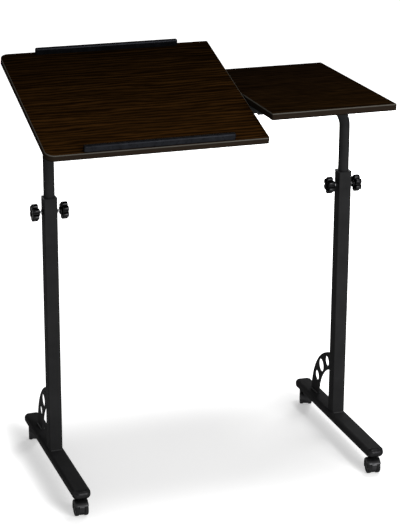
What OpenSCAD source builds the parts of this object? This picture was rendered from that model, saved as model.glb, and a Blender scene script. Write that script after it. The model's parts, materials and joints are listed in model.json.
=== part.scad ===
/* [Tops] */
// Width of the tilting laptop top
main_top_w = 500; // [440:1:560]
// Width of the level side top
side_top_w = 295; // [270:1:340]
// Gap between the two tops
top_gap = 5; // [3:0.5:8]
// Depth of both tops, front to back
top_d = 442; // [400:1:500]
// Thickness of both tops, edging included
top_t = 15; // [14:0.5:20]
// Corner radius on the laptop top's outer side
main_corner_r = 20; // [8:1:40]
// Corner radius on every other corner of the tops
small_corner_r = 3; // [2:0.5:8]
// Thickness of the plastic edging round each top
edging_t = 1; // [0.6:0.1:1.8]
// Tilt of the laptop top, front edge down
tilt = 17; // [0:1:35]

/* [Height] */
// Height of the side top's surface above the floor
desk_h = 866; // [779:1:1074]
// Height of the top rim of each column above the floor
column_top_z = 671; // [634:1:689]

/* [Upper frame] */
// Distance between the centres of the two columns
leg_spacing = 704; // [680:1:740]
// Distance from the tops' front edge back to the columns
column_set_back = 176; // [150:1:210]
// Outer diameter of the round inner tubes
tube_d = 25; // [22:0.5:26]
// Wall of the round inner tubes
tube_wall = 1.5; // [1:0.1:2]
// Centre line radius of the tube bends
bend_r = 60; // [50:1:75]
// Length of straight inner tube below each bend
tube_drop = 440; // [340:1:500]
// Height of the guide plug under each inner tube
glide_h = 25; // [15:1:35]
// Length of the plug's spigot inside the tube
glide_spigot = 20; // [10:1:30]
// Length of the sleeve that joins the two crossbar halves
sleeve_len = 90; // [70:1:96]
// Wall of the joining sleeve
sleeve_wall = 2; // [1.5:0.1:3]
// Diameter of the two crossbar bolts
cross_bolt_d = 5; // [4:0.5:6]
// Distance of each crossbar bolt from the tube joint
cross_bolt_from_joint = 22; // [15:1:24]
// Diameter of a crossbar bolt's round head
cross_bolt_head_d = 9; // [7:0.5:11]
// Height of a crossbar bolt's head
cross_bolt_head_h = 3; // [2:0.5:4]
// Width over corners of a crossbar bolt's nut
cross_nut_d = 9.2; // [8:0.1:12]
// Height of a crossbar bolt's nut
cross_nut_h = 4; // [3:0.5:6]

/* [Columns] */
// Outer width of the square column tube
column_w = 30; // [29:0.5:32]
// Wall of the square column tube
column_wall = 1.5; // [1:0.1:1.6]
// Outer corner radius of the square column tube
column_edge_r = 2; // [1:0.5:3]
// Thickness of the collar's rim on top of the column
collar_rim = 2.5; // [2:0.5:4]
// Length of the collar's plug inside the column
collar_plug = 22; // [15:1:26]
// Size of the weld bead across the foot of each column
weld_bead = 3.5; // [2:0.5:5]

/* [Clamp knobs] */
// Distance from the column's rim down to the knob screws
knob_below_rim = 34; // [32:1:50]
// Diameter of the knob screws
knob_screw_d = 6; // [5:0.5:7]
// Diameter of the welded nut on the column's side
clamp_nut_d = 12; // [11:0.5:16]
// Thickness of the welded nut
clamp_nut_h = 3; // [2:0.5:3.5]
// Gap between the column and a knob's hub
knob_gap = 8; // [4:0.5:11]
// Diameter over a knob's lobes
knob_d = 40; // [34:1:46]
// Thickness of a knob's lobed head
knob_head_h = 11; // [9:0.5:15]
// Diameter of a knob's hub
knob_hub_d = 17; // [14:0.5:20]
// Length of a knob's hub
knob_hub_h = 7; // [3:0.5:9]
// Number of lobes on a knob
knob_lobes = 6; // [5:1:8]
// Radius of one lobe
knob_lobe_r = 6.2; // [5:0.1:7]
// Radius of the rounding on a knob's rim
knob_edge_r = 2.5; // [1.5:0.5:4]
// Depth of a screw in its knob's head
knob_screw_in_head = 6; // [4:0.5:8]

/* [Feet] */
// Length of each foot tube, front to back
foot_len = 444; // [415:1:495]
// Distance from the column forward to the foot tube's front end
foot_front_reach = 233; // [190:1:258]
// Width of the foot tube
foot_w = 40; // [34:0.5:44]
// Height of the foot tube
foot_h = 20; // [19:0.5:25]
// Wall of the foot tube
foot_wall = 1.5; // [1:0.1:2]
// Outer corner radius of the foot tube
foot_edge_r = 6; // [3:0.5:8]
// Depth of an end cap's plug inside the foot tube
cap_plug = 8; // [5:0.5:9.5]
// Straight part of an end cap between the foot tube and the cap's round nose
cap_shoulder = 3; // [1:0.5:6]
// Corner radius of an end cap seen from above
cap_corner_r = 13; // [3:0.5:13]

/* [Gussets] */
// Outer radius of the quarter ring behind each column
gusset_outer_r = 137; // [115:1:160]
// Inner radius of the quarter ring
gusset_inner_r = 94; // [70:1:96]
// Thickness of the gusset plate
gusset_t = 4; // [3:0.5:6]
// Diameter of the middle hole of the gusset
gusset_mid_hole_d = 33; // [24:1:34]
// Diameter of the two end holes of the gusset
gusset_end_hole_d = 26; // [18:1:28]
// Angle from the middle hole to each end hole
gusset_hole_step = 21.5; // [21:0.5:25]

/* [Castors] */
// Height of the foot tube's underside above the floor
castor_h = 44; // [42:1:52]
// Wheel diameter
wheel_d = 35; // [31:1:37]
// Width of one wheel
wheel_w = 9; // [7:0.5:11]
// Rounding on a wheel's outer rim
wheel_edge_r = 2; // [1:0.5:3]
// Width of the flat rim round a wheel's dished outer face
wheel_rim = 4.5; // [3.5:0.5:6]
// Depth of a wheel's dished outer face
wheel_dish = 1.2; // [0.5:0.1:1.5]
// Wall between a wheel's outer face and the end of its axle
wheel_end_wall = 2.5; // [2:0.1:3]
// Wall of the boss round a wheel's axle
wheel_boss_wall = 3; // [2:0.5:5]
// Axle diameter
axle_d = 5; // [4:0.5:6]
// Thickness of the castor's central body
castor_body_w = 11; // [10:0.5:13]
// Distance from the stem to the wheel axle that trails it
castor_trail = 11; // [8:0.5:12]
// Thickness of the hood over the wheels
hood_t = 2.4; // [1.8:0.1:3]
// Distance that the hood reaches behind the axle
hood_back_reach = 18; // [8:1:19]
// Distance that the hood's front reaches below the axle
hood_front_drop = 9.5; // [2:0.5:11.5]
// Radius of the castor's body round the axle
castor_boss_r = 12.6; // [9:0.1:13.5]
// Distance from a foot tube's end in to the castor stem
castor_inset = 18; // [18:1:40]
// Diameter of the stem where it turns in the castor
stem_d = 7; // [6:0.5:7.5]
// Diameter of the stem's threaded end
stem_thread_d = 8; // [7:0.5:9]
// Diameter of the stem's flange
stem_flange_d = 15; // [13:0.5:18]
// Thickness of the stem's flange
stem_flange_h = 2; // [1.5:0.5:2.5]
// Diameter of the nut welded inside the foot tube
stem_nut_d = 14; // [12:0.5:16]
// Gap between the stem's threaded end and the foot tube's upper wall
stem_tip_gap = 2; // [1:0.5:6]
// Clear height between the axle and the stem's lower end
stem_above_axle = 5; // [4:0.5:7]
// Thickness of the castor's body under the stem
stem_floor = 2.5; // [2:0.5:4]
// Turn of each castor about its stem: 0 trails straight to the back, 180 to the front
left_front_turn = 177; // [-180:1:180]
// The same for the left rear castor
left_rear_turn = -13; // [-180:1:180]
// The same for the right front castor
right_front_turn = 173; // [-180:1:180]
// The same for the right rear castor
right_rear_turn = -20; // [-180:1:180]

/* [Retainer bars] */
// Length of each bar across the laptop top
bar_len = 340; // [280:1:400]
// Width of each bar, front to back
bar_w = 11; // [9:0.5:14]
// Height of each bar above the laptop top
bar_h = 14; // [10:0.5:18]
// Rounding along each bar's upper edges
bar_edge_r = 2.5; // [1:0.5:4]
// Rounding of each bar's upright corners
bar_corner_r = 3.5; // [2:0.5:4.5]
// Distance from the top's outer side to a bar's end
bar_inset = 82; // [60:1:90]
// Distance from the top's front or back edge to its bar
bar_set_in = 3; // [2:0.5:8]
// Distance from a bar's end to its screw
bar_screw_from_end = 40; // [20:1:80]
// Thickness of a bar above its screws
bar_screw_roof = 5; // [3:0.5:7]

/* [Mounting blocks] */
// Thickness of a block's plate between a tube and a top
plate_t = 3; // [2.5:0.5:5]
// Width of each tilt clamp along the crossbar
clamp_w = 40; // [34:1:44]
// Half the depth of a tilt clamp's jaws
clamp_reach = 32; // [30:0.5:36]
// Half the depth of a tilt clamp's screw plate
clamp_plate_reach = 52; // [47:1:60]
// Depth of a tilt clamp's lower jaw below the crossbar's centre
clamp_jaw_depth = 20; // [18:0.5:24]
// Gap between the two jaws
jaw_gap = 2; // [1:0.5:3]
// Distance from the crossbar's centre to the clamp screws
clamp_screw_y = 22; // [20.5:0.5:24]
// Rounding on the lower jaws' lower edges
clamp_edge_r = 6; // [2:0.5:8]
// Thickness of the upper jaw above the clamp screws
clamp_screw_roof = 2.5; // [2:0.5:5]
// Width over corners of a fixed clamp bolt's head
clamp_bolt_head_d = 10; // [9:0.5:12]
// Height of a fixed clamp bolt's head
clamp_bolt_head_h = 4; // [3:0.5:6]
// Distance from a bend to the left tilt clamp
clamp_from_bend = 20; // [12:1:30]
// Distance from the laptop top's inner side to the right tilt clamp's middle
clamp_from_edge = 45; // [30:1:60]
// Distance from the right tilt clamp's middle to the crossbar joint
clamp_from_joint = 55; // [50:1:70]
// Width of each side top mount along the crossbar
mount_w = 24; // [18:1:30]
// Half the depth of a side top mount
mount_reach = 34; // [30:0.5:40]
// Thickness of a side top mount's screw flanges
mount_flange_t = 6; // [4:0.5:8]
// Wall of a side top mount round the crossbar
mount_wall = 4; // [3:0.5:6]
// Distance from the side top's inner side to the first mount's middle
mount_from_edge = 45; // [30:1:60]
// Distance from a bend to the second side top mount
mount_from_bend = 8; // [4:1:15]

/* [Wood screws] */
// Diameter of the screws' shanks
wood_screw_d = 4; // [3:0.5:4.5]
// Diameter of the screws' heads
wood_screw_head_d = 8; // [7:0.5:9]
// Diameter of the screws' heads at their lower side
wood_screw_head_low_d = 6; // [5:0.5:7]
// Height of the screws' heads
wood_screw_head_h = 2.4; // [2:0.1:3]
// Depth of the screws in a top
wood_screw_bite = 11; // [8:0.5:12]
// Distance between a screw's head and the edges of its plate
wood_screw_margin = 2.5; // [1:0.5:3]

/* [Hidden] */

// Facets of large and small round shapes
$fn = 96;
small_fn = 48;

// Radial clearance of a shaft that turns or slides in its hole
run_fit = 0.05;
// Gap left where a screw's tip or a hub comes up to a moving piece
seat_gap = 0.3;
// Clearance of a plastic plug inside a square tube
plug_gap = 0.15;
// Overlap of a cut past the face that it starts from
cut = 1;

// Powder coated steel, plastics, bare steel, edging and laminate
steel_black = [0.13, 0.13, 0.14];
plastic_black = [0.07, 0.07, 0.07];
bolt_silver = [0.75, 0.75, 0.77];
edging_brown = [0.24, 0.2, 0.17];
laminate_brown = [0.17, 0.1, 0.06];

// Across the desk: the two tops side by side, centred on the frame's origin
total_w = main_top_w + top_gap + side_top_w;
main_left_x = -total_w / 2;
main_right_x = main_left_x + main_top_w;
side_left_x = main_right_x + top_gap;
leg_x = leg_spacing / 2;

// Front to back: the columns' plane, with the whole desk centred on the origin
cap_nose_r = foot_h / 2;
cap_len = cap_shoulder + cap_nose_r;
front_most = -foot_front_reach - cap_len;
back_most = top_d - column_set_back;
column_y = -(front_most + back_most) / 2;
foot_front_y = column_y - foot_front_reach;
foot_back_y = foot_front_y + foot_len;

// Heights
tube_r = tube_d / 2;
tube_bore_r = tube_r - tube_wall;
seat_h = tube_r + plate_t;
crossbar_z = desk_h - top_t - seat_h;
tube_low_z = crossbar_z - bend_r - tube_drop;
foot_top_z = castor_h + foot_h;
foot_bore_r = foot_edge_r - foot_wall;
column_steel_top_z = column_top_z - collar_rim;
column_bore = column_w - 2 * column_wall;
knob_z = column_top_z - knob_below_rim;

// Along the crossbar
left_clamp_x = -leg_x + bend_r + clamp_from_bend + clamp_w / 2;
right_clamp_x = main_right_x - clamp_from_edge;
clamp_xs = [left_clamp_x, right_clamp_x];
joint_x = right_clamp_x - clamp_from_joint;
cross_bolt_xs = [joint_x - cross_bolt_from_joint, joint_x + cross_bolt_from_joint];
mount_xs = [side_left_x + mount_from_edge, leg_x - bend_r - mount_from_bend - mount_w / 2];

// Screws of the mounting blocks
wood_head_r = wood_screw_head_d / 2;
clamp_plate_screw_x = clamp_w / 2 - wood_head_r - wood_screw_margin;
clamp_plate_screw_y = clamp_plate_reach - wood_head_r - wood_screw_margin;
mount_screw_y = mount_reach - wood_head_r - wood_screw_margin;
clamp_screw_tip_z = seat_h - clamp_screw_roof;

// Retainer bars on the laptop top, in the top's own untilted place
board_front_y = -column_set_back;
board_back_y = board_front_y + top_d;
bar_left_x = main_left_x + bar_inset;
bar_right_x = bar_left_x + bar_len;
bar_screw_rise = bar_h - bar_screw_roof;
bar_screw_xs = [bar_left_x + bar_screw_from_end, bar_right_x - bar_screw_from_end];

// Castors: wheel radius, gap at the wheels' sides, gap under the hood and what follows
wheel_r = wheel_d / 2;
wheel_side_gap = 0.4;
hood_gap = 0.8;
hood_r = wheel_r + hood_gap + hood_t;
castor_half_w = castor_body_w / 2 + wheel_side_gap + wheel_w;
stem_low_z = wheel_r + axle_d / 2 + stem_above_axle;
hood_top_z = castor_h - stem_flange_h - seat_gap;
axle_in_wheel = wheel_w - wheel_end_wall;

// A rectangle with rounded corners, centred
module round_rect(w, h, r) {
    square([w - 2 * r, h], center = true);
    square([w, h - 2 * r], center = true);
    for (x = [-1, 1], y = [-1, 1]) {
        translate([x * (w / 2 - r), y * (h / 2 - r)]) circle(r = r, $fn = small_fn);
    }
}

// A rectangle from a low corner to a high corner, with its own radius on each side
module board_plan(x0, x1, y0, y1, left_r, right_r) {
    translate([x0 + left_r, y0]) square([x1 - x0 - left_r - right_r, y1 - y0]);
    translate([x0, y0 + left_r]) square([left_r, y1 - y0 - 2 * left_r]);
    translate([x1 - right_r, y0 + right_r]) square([right_r, y1 - y0 - 2 * right_r]);
    for (y = [y0 + left_r, y1 - left_r]) translate([x0 + left_r, y]) circle(r = left_r);
    for (y = [y0 + right_r, y1 - right_r]) translate([x1 - right_r, y]) circle(r = right_r);
}

// A rod along X from x0 to x1
module rod_x(x0, x1, r) {
    translate([x0, 0, 0]) rotate([0, 90, 0]) cylinder(r = r, h = x1 - x0);
}

// Lays a plan drawn as (Y, Z) across X, from x0 to x1
module across(x0, x1) {
    translate([x0, 0, 0]) rotate([90, 0, 90]) linear_extrude(x1 - x0) children();
}

// The main top's own place: origin on the crossbar's centre line, turned by the tilt
module tilted() {
    translate([0, column_y, crossbar_z]) rotate([tilt, 0, 0]) children();
}

// The crossbar's place, not turned
module on_crossbar() {
    translate([0, column_y, crossbar_z]) children();
}

// Square column tube with its two welded nuts and the weld beads at its foot
module column(side) {
    color(steel_black) translate([side * leg_x, column_y, 0]) {
        difference() {
            union() {
                translate([0, 0, foot_top_z]) linear_extrude(column_steel_top_z - foot_top_z)
                    round_rect(column_w, column_w, column_edge_r);
                for (turn = [-90, 90]) translate([0, 0, knob_z]) rotate([0, turn, 0])
                    cylinder(d = clamp_nut_d, h = column_w / 2 + clamp_nut_h, $fn = small_fn);
                for (face = [-1, 1]) translate([0, face * column_w / 2, foot_top_z])
                    rotate([90, 0, 90]) linear_extrude(column_w - 2 * column_edge_r, center = true)
                    polygon([[-face * column_wall, 0], [face * weld_bead, 0],
                             [-face * column_wall, weld_bead + column_wall]]);
            }
            translate([0, 0, foot_top_z - cut])
                linear_extrude(column_steel_top_z - foot_top_z + 2 * cut)
                round_rect(column_bore, column_bore, column_edge_r / 2);
            translate([0, 0, knob_z])
                rod_x(-column_w, column_w, knob_screw_d / 2 + run_fit, $fn = small_fn);
        }
    }
}

// Plastic collar: a rim on the column's end and a plug inside it, bored for the inner tube
module collar(side) {
    color(plastic_black) translate([side * leg_x, column_y, 0]) difference() {
        union() {
            translate([0, 0, column_steel_top_z]) linear_extrude(collar_rim)
                round_rect(column_w, column_w, column_edge_r);
            translate([0, 0, column_steel_top_z - collar_plug]) linear_extrude(collar_plug)
                round_rect(column_bore - 2 * plug_gap, column_bore - 2 * plug_gap, column_edge_r / 2);
        }
        translate([0, 0, column_steel_top_z - collar_plug - cut])
            cylinder(r = tube_r + run_fit, h = collar_plug + collar_rim + 2 * cut);
    }
}

// Foot: a flat tube with a nut welded inside over each castor
module foot(side) {
    color(steel_black) translate([side * leg_x, 0, castor_h]) difference() {
        union() {
            difference() {
                translate([0, foot_back_y, foot_h / 2]) rotate([90, 0, 0])
                    linear_extrude(foot_len) round_rect(foot_w, foot_h, foot_edge_r);
                translate([0, foot_back_y + cut, foot_h / 2]) rotate([90, 0, 0])
                    linear_extrude(foot_len + 2 * cut)
                    round_rect(foot_w - 2 * foot_wall, foot_h - 2 * foot_wall, foot_bore_r);
            }
            for (y = stem_ys()) translate([0, y, foot_wall / 2])
                cylinder(d = stem_nut_d, h = foot_h - foot_wall, $fn = small_fn);
        }
        for (y = stem_ys()) translate([0, y, -cut])
            cylinder(r = stem_thread_d / 2 + run_fit, h = foot_h - foot_wall + cut, $fn = small_fn);
    }
}
function stem_ys() = [foot_front_y + castor_inset, foot_back_y - castor_inset];

// One round nosed end cap, its nose pointing to the front
module foot_cap() {
    plug_w = foot_w - 2 * foot_wall - 2 * plug_gap;
    plug_h = foot_h - 2 * foot_wall - 2 * plug_gap;
    intersection() {
        across(-foot_w / 2, foot_w / 2) {
            translate([-cap_shoulder, 0]) circle(r = cap_nose_r);
            translate([-cap_shoulder, -cap_nose_r]) square([cap_shoulder, foot_h]);
        }
        linear_extrude(foot_h + 2 * cut, center = true)
            board_plan(-foot_w / 2, foot_w / 2, -cap_len, 2 * cap_corner_r, cap_corner_r, cap_corner_r);
        rotate([90, 0, 0]) linear_extrude(cap_len + cut) round_rect(foot_w, foot_h, foot_edge_r);
    }
    rotate([-90, 0, 0]) linear_extrude(cap_plug) round_rect(plug_w, plug_h, foot_bore_r);
}

// The two end caps of a foot
module foot_caps(side) {
    color(plastic_black) translate([side * leg_x, 0, castor_h + foot_h / 2]) {
        translate([0, foot_front_y, 0]) foot_cap();
        translate([0, foot_back_y, 0]) rotate([0, 0, 180]) foot_cap();
    }
}

// Quarter ring plate with three round holes, welded behind the column and on the foot
module gusset(side) {
    ring_mid_r = (gusset_outer_r + gusset_inner_r) / 2;
    color(steel_black) translate([side * leg_x, column_y + column_w / 2, foot_top_z])
        across(-gusset_t / 2, gusset_t / 2) difference() {
            intersection() {
                circle(r = gusset_outer_r, $fn = 180);
                square(gusset_outer_r + cut);
            }
            circle(r = gusset_inner_r, $fn = 180);
            for (step = [-1, 0, 1]) rotate(45 + step * gusset_hole_step) translate([ring_mid_r, 0])
                circle(d = step == 0 ? gusset_mid_hole_d : gusset_end_hole_d);
        }
}

// The lobed outline of a clamp knob
module knob_outline() {
    lobe_at = knob_d / 2 - knob_lobe_r;
    circle(r = lobe_at);
    for (i = [0 : knob_lobes - 1]) rotate(i * 360 / knob_lobes) translate([lobe_at, 0])
        circle(r = knob_lobe_r, $fn = small_fn);
}

// A knob along +Z: the hub starts at z = 0 and the lobed head is on top of it
module knob_shape() {
    head_top = knob_hub_h + knob_head_h;
    difference() {
        union() {
            cylinder(d = knob_hub_d, h = knob_hub_h + cut, $fn = small_fn);
            intersection() {
                translate([0, 0, knob_hub_h]) linear_extrude(knob_head_h) knob_outline();
                rotate_extrude() {
                    translate([0, knob_hub_h]) square([knob_d / 2 - knob_edge_r, knob_head_h]);
                    translate([0, knob_hub_h + knob_edge_r])
                        square([knob_d / 2, knob_head_h - 2 * knob_edge_r]);
                    for (z = [knob_hub_h + knob_edge_r, head_top - knob_edge_r])
                        translate([knob_d / 2 - knob_edge_r, z])
                        circle(r = knob_edge_r, $fn = small_fn);
                }
            }
        }
        translate([0, 0, -cut])
            cylinder(r = knob_screw_d / 2, h = cut + knob_hub_h + knob_screw_in_head, $fn = small_fn);
    }
}

// Puts a shape along +Z on a column's clamp screw axis, starting at the column's face
module at_clamp(side, direction) {
    translate([side * leg_x, column_y, knob_z]) rotate([0, direction * 90, 0])
        translate([0, 0, column_w / 2]) children();
}

module clamp_knob(side, direction) {
    color(plastic_black) at_clamp(side, direction) translate([0, 0, knob_gap]) knob_shape();
}

// Clamp screw: its tip stops just short of the inner tube
module clamp_screw(side, direction) {
    tip = tube_r + seat_gap - column_w / 2;
    color(bolt_silver) at_clamp(side, direction) translate([0, 0, tip])
        cylinder(d = knob_screw_d, h = knob_gap + knob_hub_h + knob_screw_in_head - tip, $fn = small_fn);
}

// Castor stems of one leg: thread, flange and the journal that the castor turns on
module castor_stems(side) {
    color(bolt_silver) for (y = stem_ys()) translate([side * leg_x, y, 0]) {
        translate([0, 0, castor_h - stem_flange_h])
            cylinder(d = stem_flange_d, h = stem_flange_h, $fn = small_fn);
        translate([0, 0, castor_h - cut / 2])
            cylinder(d = stem_thread_d, h = foot_h - foot_wall - stem_tip_gap + cut / 2, $fn = small_fn);
        translate([0, 0, stem_low_z])
            cylinder(d = stem_d, h = castor_h - stem_flange_h - stem_low_z + cut / 2, $fn = small_fn);
    }
}

// Turn of a castor: side is -1 on the left and 1 on the right, end is 0 in front and 1 behind
function castor_turn(side, end) =
    side < 0 ? (end == 0 ? left_front_turn : left_rear_turn)
             : (end == 0 ? right_front_turn : right_rear_turn);

// Puts a castor's pieces under a foot, turned about its stem; unturned, the axle is behind it
module at_castor(side, end) {
    translate([side * leg_x, stem_ys()[end], 0]) rotate([0, 0, castor_turn(side, end)]) children();
}

// The part of a castor's side view that its hood covers, as (Y, Z) round the axle
module covered() {
    translate([-hood_r, 0]) square([hood_r + hood_back_reach, hood_r]);
    translate([-hood_r, -hood_front_drop]) square([hood_r, hood_front_drop + cut]);
}

module hood_cover() {
    intersection() {
        difference() {
            circle(r = hood_r);
            circle(r = wheel_r + hood_gap);
        }
        covered();
    }
}

module hood_web() {
    circle(r = castor_boss_r);
    intersection() {
        circle(r = wheel_r + hood_gap + hood_t / 2);
        covered();
    }
}

// Castor body: the web between the wheels, the hood over them and the boss for the stem
module castor_hood(side, end) {
    boss_low_z = stem_low_z - stem_floor;
    color(plastic_black) at_castor(side, end) difference() {
        union() {
            translate([0, castor_trail, wheel_r]) {
                across(-castor_body_w / 2, castor_body_w / 2) hood_web();
                across(-castor_half_w, castor_half_w) hood_cover();
            }
            difference() {
                translate([0, 0, boss_low_z])
                    cylinder(d = stem_flange_d, h = hood_top_z - boss_low_z, $fn = small_fn);
                for (x = [castor_body_w / 2, -castor_body_w / 2 - stem_flange_d])
                    translate([0, castor_trail, wheel_r])
                    rod_x(x, x + stem_flange_d, wheel_r + hood_gap);
            }
        }
        translate([0, 0, stem_low_z - seat_gap])
            cylinder(r = stem_d / 2 + run_fit, h = castor_h, $fn = small_fn);
        translate([0, castor_trail, wheel_r])
            rod_x(-castor_body_w, castor_body_w, axle_d / 2, $fn = small_fn);
    }
}

module castor_axle(side, end) {
    reach = castor_body_w / 2 + wheel_side_gap + axle_in_wheel;
    color(bolt_silver) at_castor(side, end) translate([0, castor_trail, wheel_r])
        rod_x(-reach, reach, axle_d / 2, $fn = small_fn);
}

// One wheel along +Z from its inner face: rounded tread, dished outer face, blind bore
module wheel_shape() {
    difference() {
        rotate_extrude() {
            square([wheel_r - wheel_edge_r, wheel_w]);
            square([wheel_r, wheel_w - wheel_edge_r]);
            translate([wheel_r - wheel_edge_r, wheel_w - wheel_edge_r])
                circle(r = wheel_edge_r, $fn = small_fn);
        }
        translate([0, 0, wheel_w - wheel_dish]) difference() {
            cylinder(r = wheel_r - wheel_rim, h = wheel_w);
            translate([0, 0, -cut])
                cylinder(r = axle_d / 2 + wheel_boss_wall, h = 2 * wheel_w, $fn = small_fn);
        }
        translate([0, 0, -cut])
            cylinder(r = axle_d / 2 + run_fit, h = axle_in_wheel + seat_gap + cut, $fn = small_fn);
    }
}

// A castor wheel on the outer (+1) or inner (-1) side, seen from the desk's middle
module castor_wheel(side, end, which) {
    facing = cos(castor_turn(side, end)) < 0 ? -1 : 1;
    color(plastic_black) at_castor(side, end) translate([0, castor_trail, wheel_r])
        rotate([0, facing * side * which * 90, 0])
        translate([0, 0, castor_body_w / 2 + wheel_side_gap]) wheel_shape();
}

// The path of one inner tube: upright, bend and half of the crossbar, as a solid of radius r
module tube_solid(side, r, reach_x, extra) {
    translate([side * leg_x, column_y, tube_low_z - extra])
        cylinder(r = r, h = tube_drop + extra);
    translate([side * (leg_x - bend_r), column_y, crossbar_z - bend_r])
        rotate([90, 0, 0]) rotate([0, 0, side > 0 ? 0 : 90])
        rotate_extrude(angle = 90) translate([bend_r, 0]) circle(r = r);
    on_crossbar() rod_x(side > 0 ? reach_x - extra : -leg_x + bend_r,
                        side > 0 ? leg_x - bend_r : reach_x + extra, r);
}

// Round inner tube, from inside the column, round the bend and along to the crossbar joint
module inner_tube(side) {
    color(steel_black) difference() {
        tube_solid(side, tube_r, joint_x, 0);
        tube_solid(side, tube_bore_r, joint_x, cut);
        cross_bolt_holes();
    }
}

// Holes for the two crossbar bolts, front to back
module cross_bolt_holes() {
    on_crossbar() for (x = cross_bolt_xs) translate([x, -tube_d, 0]) rotate([-90, 0, 0])
        cylinder(r = cross_bolt_d / 2 + run_fit, h = 2 * tube_d, $fn = small_fn);
}

// Guide plugs under the inner tubes, sliding inside the columns
module tube_glides() {
    glide_w = column_bore - 2 * plug_gap;
    color(plastic_black) for (side = [-1, 1]) translate([side * leg_x, column_y, tube_low_z]) {
        translate([0, 0, -glide_h]) linear_extrude(glide_h)
            round_rect(glide_w, glide_w, column_edge_r / 2);
        translate([0, 0, -cut])
            cylinder(r = tube_bore_r - run_fit, h = glide_spigot + cut);
    }
}

// Sleeve inside the crossbar, across the joint of its two halves
module crossbar_sleeve() {
    color(steel_black) difference() {
        on_crossbar() difference() {
            rod_x(joint_x - sleeve_len / 2, joint_x + sleeve_len / 2, tube_bore_r - run_fit);
            rod_x(joint_x - sleeve_len, joint_x + sleeve_len, tube_bore_r - run_fit - sleeve_wall);
        }
        cross_bolt_holes();
    }
}

// Bolts through the crossbar and its sleeve, with round heads behind and nuts in front
module crossbar_bolts() {
    color(bolt_silver) on_crossbar() for (x = cross_bolt_xs) translate([x, 0, 0]) {
        rotate([-90, 0, 0]) translate([0, 0, -tube_r - cut])
            cylinder(d = cross_bolt_d, h = tube_d + 2 * cut, $fn = small_fn);
        translate([0, tube_r, 0]) rotate([-90, 0, 0])
            cylinder(d = cross_bolt_head_d, h = cross_bolt_head_h, $fn = small_fn);
        translate([0, -tube_r, 0]) rotate([90, 0, 0]) cylinder(d = cross_nut_d, h = cross_nut_h, $fn = 6);
    }
}

// Level side top's board inside its edging
module side_plan(inset) {
    r = small_corner_r - inset / 2;
    board_plan(side_left_x + inset, side_left_x + side_top_w - inset,
               board_front_y + inset, board_back_y - inset, r, r);
}

module side_board() {
    color(laminate_brown) on_crossbar() difference() {
        translate([0, 0, seat_h]) linear_extrude(top_t) side_plan(edging_t);
        side_screw_holes();
    }
}

module side_edging() {
    color(edging_brown) on_crossbar() translate([0, 0, seat_h]) linear_extrude(top_t) difference() {
        side_plan(0);
        side_plan(edging_t);
    }
}

// Places of the side top's screws
module at_side_screws() {
    for (x = mount_xs, y = [-mount_screw_y, mount_screw_y]) translate([x, y, seat_h]) children();
}

module side_screw_holes() {
    at_side_screws() translate([0, 0, -mount_flange_t - cut])
        cylinder(r = wood_screw_d / 2 + run_fit, h = mount_flange_t + wood_screw_bite + cut + seat_gap,
                 $fn = small_fn);
}

// One piece mounts that carry the side top on the crossbar
module side_mounts() {
    ring_r = tube_r + run_fit + mount_wall;
    color(plastic_black) on_crossbar() difference() {
        for (x = mount_xs) across(x - mount_w / 2, x + mount_w / 2) {
            translate([-mount_reach, seat_h - mount_flange_t])
                square([2 * mount_reach, mount_flange_t]);
            translate([-ring_r, 0]) square([2 * ring_r, seat_h]);
            intersection() {
                circle(r = ring_r);
                translate([-ring_r, -ring_r]) square([2 * ring_r, ring_r]);
            }
        }
        rod_x(mount_xs[0] - mount_w, mount_xs[1] + mount_w, tube_r + run_fit);
        side_screw_holes();
    }
}

// A wood screw pointing up: its head hangs under z = 0 and its shank rises by length
module wood_screw(length) {
    translate([0, 0, -wood_screw_head_h])
        cylinder(d1 = wood_screw_head_low_d, d2 = wood_screw_head_d, h = wood_screw_head_h,
                 $fn = small_fn);
    translate([0, 0, -cut / 2]) cylinder(d = wood_screw_d, h = length + cut / 2, $fn = small_fn);
}

module side_screws() {
    color(bolt_silver) on_crossbar() at_side_screws() translate([0, 0, -mount_flange_t])
        wood_screw(mount_flange_t + wood_screw_bite);
}

// Laptop top's board inside its edging, in the top's own place
module main_plan(inset) {
    board_plan(main_left_x + inset, main_right_x - inset, board_front_y + inset,
               board_back_y - inset, main_corner_r - inset, small_corner_r - inset / 2);
}

module main_board() {
    color(laminate_brown) tilted() difference() {
        translate([0, 0, seat_h]) linear_extrude(top_t) main_plan(edging_t);
        bracket_screw_holes();
        bar_screw_holes();
    }
}

module main_edging() {
    color(edging_brown) tilted() translate([0, 0, seat_h]) linear_extrude(top_t) difference() {
        main_plan(0);
        main_plan(edging_t);
    }
}

// A retainer bar with its front face at y = 0 and its underside at z = 0
module retainer_bar() {
    intersection() {
        across(bar_left_x, bar_right_x) {
            square([bar_w, bar_h - bar_edge_r]);
            translate([bar_edge_r, 0]) square([bar_w - 2 * bar_edge_r, bar_h]);
            for (y = [bar_edge_r, bar_w - bar_edge_r]) translate([y, bar_h - bar_edge_r])
                circle(r = bar_edge_r, $fn = small_fn);
        }
        linear_extrude(bar_h + cut)
            board_plan(bar_left_x, bar_right_x, 0, bar_w, bar_corner_r, bar_corner_r);
    }
}

// The bars' places on the laptop top
module at_front_bar() {
    translate([0, board_front_y + bar_set_in, seat_h + top_t]) children();
}

module at_rear_bar() {
    translate([0, board_back_y - bar_set_in - bar_w, seat_h + top_t]) children();
}

module front_bar() {
    color(plastic_black) tilted() difference() {
        at_front_bar() retainer_bar();
        bar_screw_holes();
    }
}

module rear_bar() {
    color(plastic_black) tilted() difference() {
        at_rear_bar() retainer_bar();
        bar_screw_holes();
    }
}

// Places of the bars' screws, on the laptop top's underside
module at_bar_screws() {
    for (x = bar_screw_xs) {
        at_front_bar() translate([x, bar_w / 2, -top_t]) children();
        at_rear_bar() translate([x, bar_w / 2, -top_t]) children();
    }
}

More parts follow.
